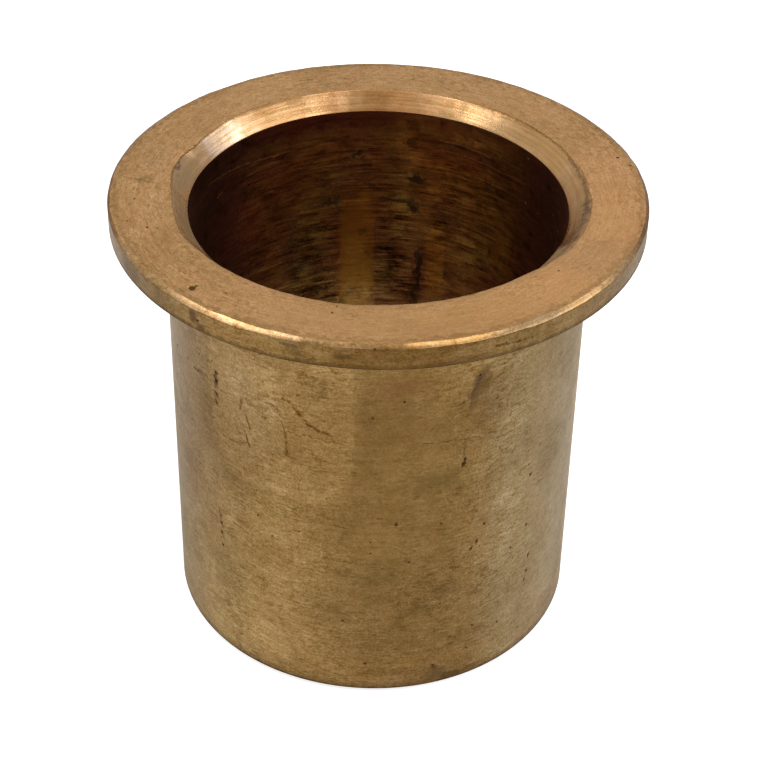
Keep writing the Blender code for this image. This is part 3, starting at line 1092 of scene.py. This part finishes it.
rim = {
    "radius": 28.25,
    "colour": (0.250, 0.143, 0.044),
    "tarnish": (0.215, 0.118, 0.034),
    "blotchTone": 0.12,
    "raggedness": 0.9,
    "fleckStretch": 3.5,
    "fleckTone": 0.14,
    "hairTone": 0.10,
    # Most of these tints paint light on the rim: lighter where the lamps gleam on it, at about -46, -30,
    # -11, 11, 20, 35 and 47 degrees, and at the sides where it turns away, and darker at 4 degrees
    "tints": [
        (-30, 50, 9, 2, 0.6, 0.9, (1.5, 1.58, 1.75)),
        (35, 50, 6, 2, 0.6, 0.5, (1.3, 1.45, 1.8)),
        (4, 50, 9, 2, 0.6, 0.7, (0.86, 0.79, 0.7)),
        (90, 50, 22, 2, 0.6, 0.8, (1.05, 1.15, 1.35)),
        (-90, 50, 22, 2, 0.6, 0.8, (1.05, 1.15, 1.35)),
        (-11, 50, 2.2, 2, 0.8, 0.9, (1.35, 1.42, 1.6)),
        (20, 50, 3.2, 2, 0.8, 0.9, (1.38, 1.52, 1.9)),
        (11, 49.4, 3, 1, 0.8, 0.8, (1.25, 1.28, 1.5)),
        (47, 50, 4, 2, 0.8, 0.8, (1.14, 1.17, 1.34)),
        (-46, 50.2, 3, 1.6, 0.8, 0.8, (1.14, 1.2, 1.36)),
    ],
    "stains": [
        # the first two darken a band all round the rim's lower edge
        (0, 48.98, 80, 0.42, 0.8, 0.55, umber),
        (0, 48.76, 80, 0.17, 0.7, 0.75, umber),
        (-38.6, 50.3, 0.8, 1, 0.7, 0.7, plum),
        (-36.8, 49.4, 0.7, 0.4, 0.7, 0.55, plum),
        (-16.8, 50.6, 1.3, 0.4, 0.8, 0.55, purple),
        (-15.2, 49.9, 1, 0.5, 0.8, 0.4, umber),
        (-6.2, 50.1, 1.2, 0.45, 0.7, 0.6, umber),
        (-60, 50, 2.6, 1.6, 0.7, 0.4, purple),
        (6, 49.9, 3, 0.3, 0.8, 0.3, umber),
        (19, 49.5, 3, 0.25, 0.8, 0.4, umber),
    ],
    "scratches": [
        ((24, 50.1), (27, 50), 0.22),
        ((27, 50), (32, 49.9), 0.26),
    ],
}

rimBreak = {
    **rim,
    "colour": (0.36, 0.220, 0.096),
    "tarnish": (0.32, 0.190, 0.080),
    "shadeAmount": 0.2,
    "blotchTone": 0.07,
    "fleckStretch": 2.0,
    "fleckTone": 0.17,
    "fleckHeight": 0.0012,
    "grainTone": 0.14,
    "grainHeight": 0.0008,
    "lineHeight": 0.001,
    "hairTone": 0.10,
    "crackTone": 0.25,
    "roughness": 0.27,
    # These tints paint the break's highlights: lighter where the lamps gleam on it, at about -30, -6, 14
    # and 45 degrees, and darker between at 5, 33 and 66; the last three make it a darker brown round the
    # back
    "tints": [
        (-30, 51.4, 9, 2, 0.5, 1, (1.45, 1.45, 1.55)),
        (14, 51.4, 5, 2, 0.5, 1, (1.5, 1.46, 1.35)),
        (33, 51.4, 5, 2, 0.6, 0.8, (0.8, 0.86, 1.05)),
        (-6, 51.4, 3.4, 2, 0.7, 1, (1.25, 1.22, 1.14)),
        (5, 51.4, 3, 2, 0.6, 0.8, (0.76, 0.64, 0.48)),
        (45, 51.4, 2.6, 2, 0.7, 0.8, (1.15, 1.18, 1.3)),
        (66, 51.4, 7, 2, 0.6, 1, (0.8, 0.82, 0.9)),
        (120, 51.4, 30, 2, 0.3, 0.9, (0.6, 0.45, 0.32)),
        (-120, 51.4, 30, 2, 0.3, 0.9, (0.6, 0.45, 0.32)),
        (180, 51.4, 20, 2, 0.3, 0.9, (0.6, 0.45, 0.32)),
    ],
    "stains": [],
    "scratches": [],
}

finishes = {
    "bore": turnedFinish("bronzeBoreWorn", bore),
    "leadIn": turnedFinish("bronzeLeadInTurned", leadIn),
    "flangeFace": turnedFinish("bronzeFlangeFace", flangeFace),
    "rimBreak": turnedFinish("bronzeRimBreakBright", rimBreak),
    "rim": turnedFinish("bronzeRim", rim),
    "seat": turnedFinish("bronzeSeat", {"lie": "face", "radius": 25.0}),
    "sleeve": turnedFinish("bronzeSleeve", sleeve),
    "sleeveEnd": turnedFinish("bronzeSleeveEnd", {"lie": "face", "colour": (0.18, 0.090, 0.030)}),
}
print("finishes mixed:", len(finishes))

bushing = drawSection("bushingTurned")
turnSection(bushing)
paintZones(bushing, finishes)
roundEdges(bushing)
wearEdges(bushing)
pushDents(bushing)
bpy.ops.object.mode_set(mode="OBJECT")
bpy.ops.object.shade_smooth_by_angle(angle=math.radians(form["smoothAngle"]))
soilPiece(bushing)
print("bushing turned:", len(bushing.data.polygons), "faces")

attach(bushing, "root")
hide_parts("bushing")

# The table it stands on. The camera sees it white; the bushing sees it as it is lit.
table = {
    "size": 3.0,
    "colour": (0.80, 0.80, 0.80),
    "roughness": 0.9,
    "whiteToCamera": 0.74,
    "whiteToMetal": 0.15,
}


def layTable():
    bpy.ops.mesh.primitive_plane_add(size=table["size"], location=(0, 0, 0))
    sheet = bpy.context.object
    sheet.name = "paleTable"
    paper = bpy.data.materials.new("paleTablePaper")
    paper.use_nodes = True
    tree = paper.node_tree
    shader = tree.nodes["Principled BSDF"]
    shader.inputs["Base Color"].default_value = (*table["colour"], 1)
    shader.inputs["Roughness"].default_value = table["roughness"]
    rays = add(tree, "LightPath").outputs
    toCamera = times(tree, rays["Is Camera Ray"], table["whiteToCamera"])
    toMetal = times(tree, rays["Is Glossy Ray"], table["whiteToMetal"])
    glow = calc(tree, "ADD", toCamera, toMetal)
    shader.inputs["Emission Color"].default_value = (1, 1, 1, 1)
    tree.links.new(glow, shader.inputs["Emission Strength"])
    sheet.data.materials.append(paper)


layTable()
print("table laid")

# Soft boxes round the bushing: the way each lies from it, its size as seen and its brightness.
studio = {
    "distance": 0.60,
    "power": 4.0,                # watts for each square metre at brightness 1
    "boxes": {
        "topLeft": ((-0.47, 0.03, 0.88), 0.26, 0.20, 2.8),
        "frontLeft": ((-0.69, -0.30, 0.66), 0.12, 0.12, 2.3),
        "right": ((0.70, -0.22, 0.60), 0.62, 0.20, 2.0),
        "rightBack": ((0.61, 0.33, 0.72), 0.12, 0.12, 1.7),
        "top": ((0.30, -0.04, 0.95), 0.26, 0.20, 2.2),
    },
    "skyToDiffuse": 0.55,
    "skyFront": 0.60,
    "skyBack": 1.0,
    "skyLow": 0.55,
    "skyTurn": 0.8,              # how far forward and back the sky's ends lie
    "skyRise": (0.05, 0.45),
}


def hangBoxes():
    middle = Vector((0, 0, length))
    for name, (way, wide, tall, bright) in studio["boxes"].items():
        way = Vector(way).normalized()
        bpy.ops.object.light_add(type="AREA", location=middle + way * studio["distance"])
        box = bpy.context.object
        box.name = name + "SoftBox"
        box.rotation_euler = way.to_track_quat("Z", "Y").to_euler()
        box.data.shape = "RECTANGLE"
        box.data.size, box.data.size_y = wide, tall
        box.data.energy = bright * studio["power"] * wide * tall


def paintSky():
    world = bpy.data.worlds.new("paleStudio")
    bpy.context.scene.world = world
    world.use_nodes = True
    tree = world.node_tree
    right, back, up = add(tree, "SeparateXYZ", {0: add(tree, "TexCoord").outputs["Generated"]}).outputs
    rays = add(tree, "LightPath").outputs
    turn = studio["skyTurn"]
    seen = ramp(tree, back, -turn, turn, studio["skyFront"], studio["skyBack"])
    seen = times(tree, seen, ramp(tree, up, *studio["skyRise"], studio["skyLow"], 1.0))
    strength = add(tree, "Mix", {0: rays["Is Glossy Ray"], 2: studio["skyToDiffuse"], 3: seen}).outputs[0]
    strength = add(tree, "Mix", {0: rays["Is Camera Ray"], 2: strength, 3: 1.0}).outputs[0]
    tree.links.new(strength, tree.nodes["Background"].inputs["Strength"])
    tree.nodes["Background"].inputs["Color"].default_value = (1, 1, 1, 1)


hangBoxes()
paintSky()
print("soft boxes hung:", len(studio["boxes"]))

view = {
    "place": (0.0, -0.1787, 0.1602),
    "aim": (0.00053, 0.0, 0.0265),
    "lens": 94.23,
    "roll": 1.12,
}


def setCamera():
    bpy.ops.object.camera_add(location=view["place"])
    camera = bpy.context.object
    look = Vector(view["aim"]) - Vector(view["place"])
    turn = look.to_track_quat("-Z", "Y").to_matrix() @ Matrix.Rotation(math.radians(view["roll"]), 3, "Z")
    camera.rotation_euler = turn.to_euler()
    camera.data.lens = view["lens"]
    camera.data.clip_start = 0.01
    bpy.context.scene.camera = camera


setCamera()
print("camera set")
bpy.context.scene.view_settings.view_transform = "Standard"
